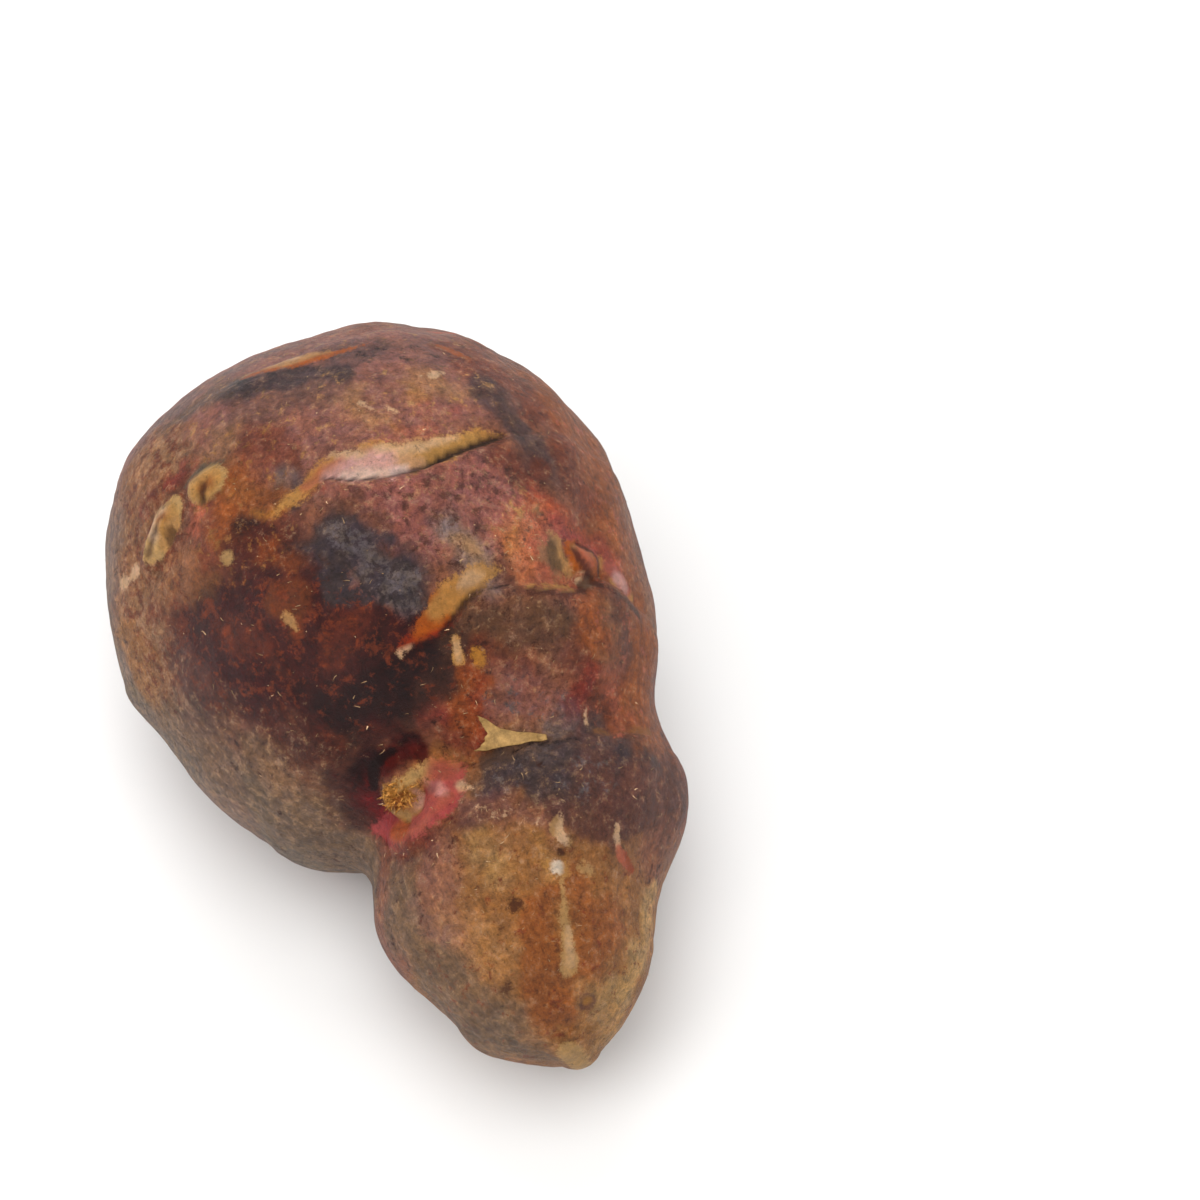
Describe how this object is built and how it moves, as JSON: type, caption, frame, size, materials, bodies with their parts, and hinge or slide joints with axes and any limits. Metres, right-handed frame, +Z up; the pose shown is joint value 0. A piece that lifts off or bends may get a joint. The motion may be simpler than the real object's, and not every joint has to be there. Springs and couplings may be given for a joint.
{
  "type": "jerusalem artichoke",
  "caption": "Knobbly Jerusalem artichoke tuber lying on its side, with a round crown, a pinched waist, a tapering nose, leaf-scar rings and small root buds.",
  "frame": {"origin": "the bottom centre of the bounding box, on the surface that the tuber lies on", "axes": "+Y along the tuber's long axis, from the nose to the stolon scar; +Z up, through its thickness; +X across it"},
  "size_m": [0.0584, 0.0882, 0.0491],
  "materials": {
    "skin": "thin reddish-brown skin, satin, with dusty tan and bluish-grey patches and pale root scars"
  },
  "bodies": {
    "root": {"tuber": "skin"}
  },
  "joints": []
}
